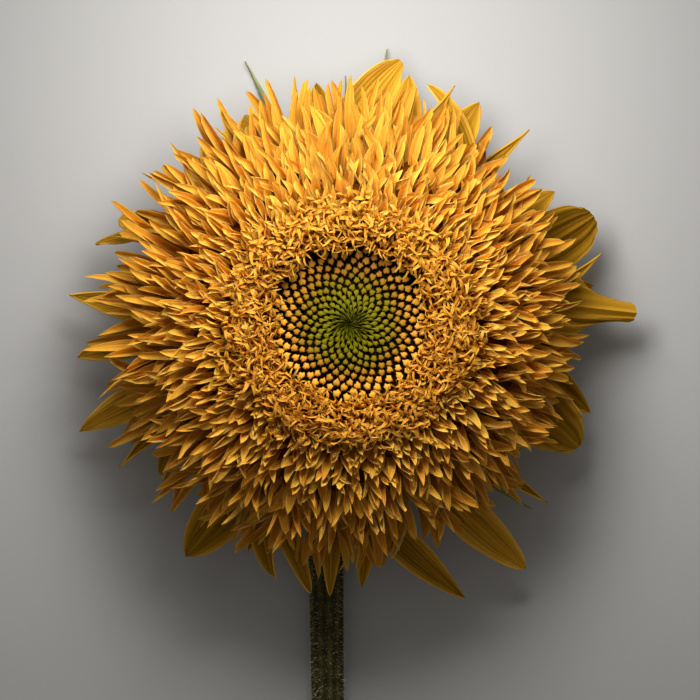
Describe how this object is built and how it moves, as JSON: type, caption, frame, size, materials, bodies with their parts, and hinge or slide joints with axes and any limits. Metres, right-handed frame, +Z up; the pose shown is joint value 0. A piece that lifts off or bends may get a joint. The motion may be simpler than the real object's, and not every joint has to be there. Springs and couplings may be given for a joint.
{
  "type": "cut sunflower",
  "caption": "Double sunflower with petal-like florets, curled tubular florets and a sunken disc, on a cut stem bent at the neck; lies on its back with its face up.",
  "frame": {"origin": "middle of the whole flower's bounding box, on the surface that it lies on", "axes": "+Z up, out of the flower's face; +Y along the stem from its cut end towards the head; +X to the right of the face as seen from above with the stem below it"},
  "size_m": [0.1696, 0.3232, 0.0611],
  "materials": {
    "stem": "matte green stalk with pale stiff hairs",
    "bract": "matte green leaf with fine hairs",
    "ray_petal": "soft golden petal",
    "petal": "soft golden petal",
    "tube_floret": "soft golden petal",
    "bud": "matte golden brown",
    "disc_green": "matte olive green"
  },
  "bodies": {
    "root": {"stem": "stem", "involucre": "bract", "ray_petals": "ray_petal", "petal_florets": "petal", "tube_florets": "tube_floret", "disc_buds": "bud", "disc_centre": "disc_green"}
  },
  "joints": []
}
